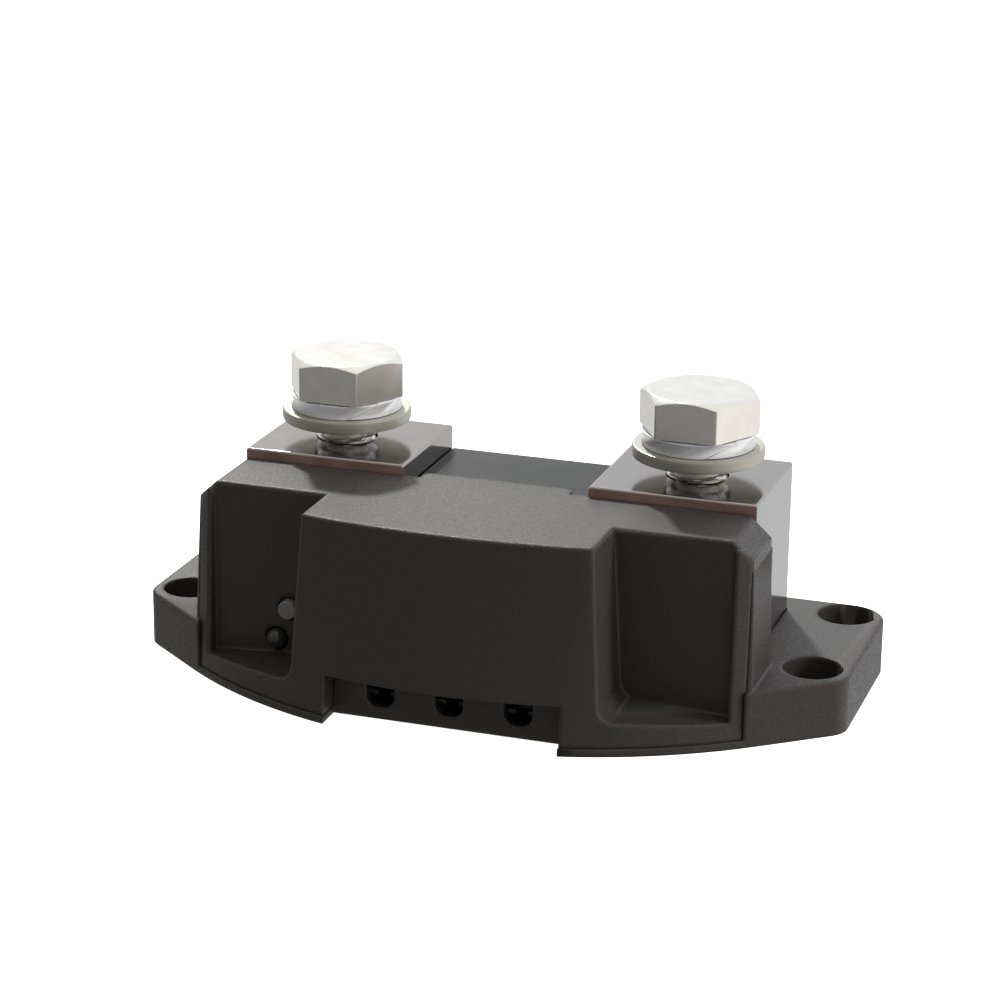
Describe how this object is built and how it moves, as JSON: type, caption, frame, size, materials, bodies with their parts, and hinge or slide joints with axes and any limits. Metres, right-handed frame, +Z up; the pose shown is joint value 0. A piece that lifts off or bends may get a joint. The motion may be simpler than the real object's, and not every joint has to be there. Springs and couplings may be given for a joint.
{
  "type": "battery shunt",
  "caption": "Current shunt for a battery monitor: two plated bolt terminals in a black curved-front housing with cable slots, a push button and a lamp.",
  "frame": {"origin": "bottom centre of the overall box, on the mounting face", "axes": "+X along the row of terminals, +Z up from the mounting face, -Y towards the curved front with the cable slots"},
  "size_m": [0.1168, 0.0579, 0.0479],
  "materials": {
    "housing_plastic": "fine textured black moulding",
    "cover_plastic": "fine textured black moulding",
    "lid_plastic": "smooth dark moulding",
    "plated_copper": "nickel-tin plated, satin; bare copper on the front cut face",
    "manganin": "bare resistance alloy",
    "bright_zinc": "bright zinc plated steel",
    "washer_zinc": "bluish bright zinc plated spring steel",
    "flat_washer_zinc": "satin zinc plated steel",
    "screw_steel": "zinc plated steel",
    "circuit_board": "green solder mask on glass epoxy",
    "header": "tinned brass pins in black strip",
    "spacer_brass": "turned brass",
    "sense_screw": "brass",
    "socket_plastic": "black nylon",
    "pin_metal": "tinned brass",
    "switch_body": "black nylon",
    "button_grey": "mid grey moulding",
    "led_lens": "smoked diffusing epoxy, gloss",
    "lead_wire": "tinned wire",
    "chip_epoxy": "black epoxy",
    "capacitor_case": "sleeved aluminium"
  },
  "bodies": {
    "housing": {"base_housing": "housing_plastic", "front_cover": "cover_plastic", "bridge_lid": "lid_plastic", "terminal_left": "plated_copper", "terminal_right": "plated_copper", "resistor_strip_1": "manganin", "resistor_strip_2": "manganin", "resistor_strip_3": "manganin", "resistor_strip_4": "manganin", "terminal_screws": "screw_steel", "cover_screws": "screw_steel", "main_board": "circuit_board", "connector_board": "circuit_board", "board_header": "header", "sense_spacers": "spacer_brass", "sense_screws": "sense_screw", "cable_sockets": "socket_plastic", "socket_pins": "pin_metal", "tact_switch": "switch_body", "led_lens": "led_lens", "led_leads": "lead_wire", "board_chips": "chip_epoxy", "board_capacitors": "capacitor_case"},
    "washers_left": {"flat_washer_left": "flat_washer_zinc", "spring_washer_left": "washer_zinc"},
    "bolt_left": {"bolt_left": "bright_zinc"},
    "washers_right": {"flat_washer_right": "flat_washer_zinc", "spring_washer_right": "washer_zinc"},
    "bolt_right": {"bolt_right": "bright_zinc"},
    "button": {"push_button": "button_grey"}
  },
  "joints": [
    {"name": "washers_left_lift", "type": "slide", "parent": "housing", "child": "washers_left", "axis": [0, 0, 1], "range_m": [-0.00305, 0.012]},
    {"name": "bolt_left_turn", "type": "hinge", "parent": "washers_left", "child": "bolt_left", "pos_m": [-0.02965, 0.01195, 0.043], "axis": [0, 0, 1], "range_deg": [-733, 2881]},
    {"name": "washers_right_lift", "type": "slide", "parent": "housing", "child": "washers_right", "axis": [0, 0, 1], "range_m": [-0.00305, 0.012]},
    {"name": "bolt_right_turn", "type": "hinge", "parent": "washers_right", "child": "bolt_right", "pos_m": [0.02965, 0.01195, 0.043], "axis": [0, 0, 1], "range_deg": [-733, 2881]},
    {"name": "button_press", "type": "slide", "parent": "housing", "child": "button", "axis": [0, 1, 0], "range_m": [0, 0.00035], "stiffness_N_per_m": 3000, "springref_m": -0.0002}
  ],
  "couplings": [
    {"joint": "bolt_left_turn", "follows": "washers_left_lift", "rad_per_m": 4188.8},
    {"joint": "bolt_right_turn", "follows": "washers_right_lift", "rad_per_m": 4188.8}
  ]
}
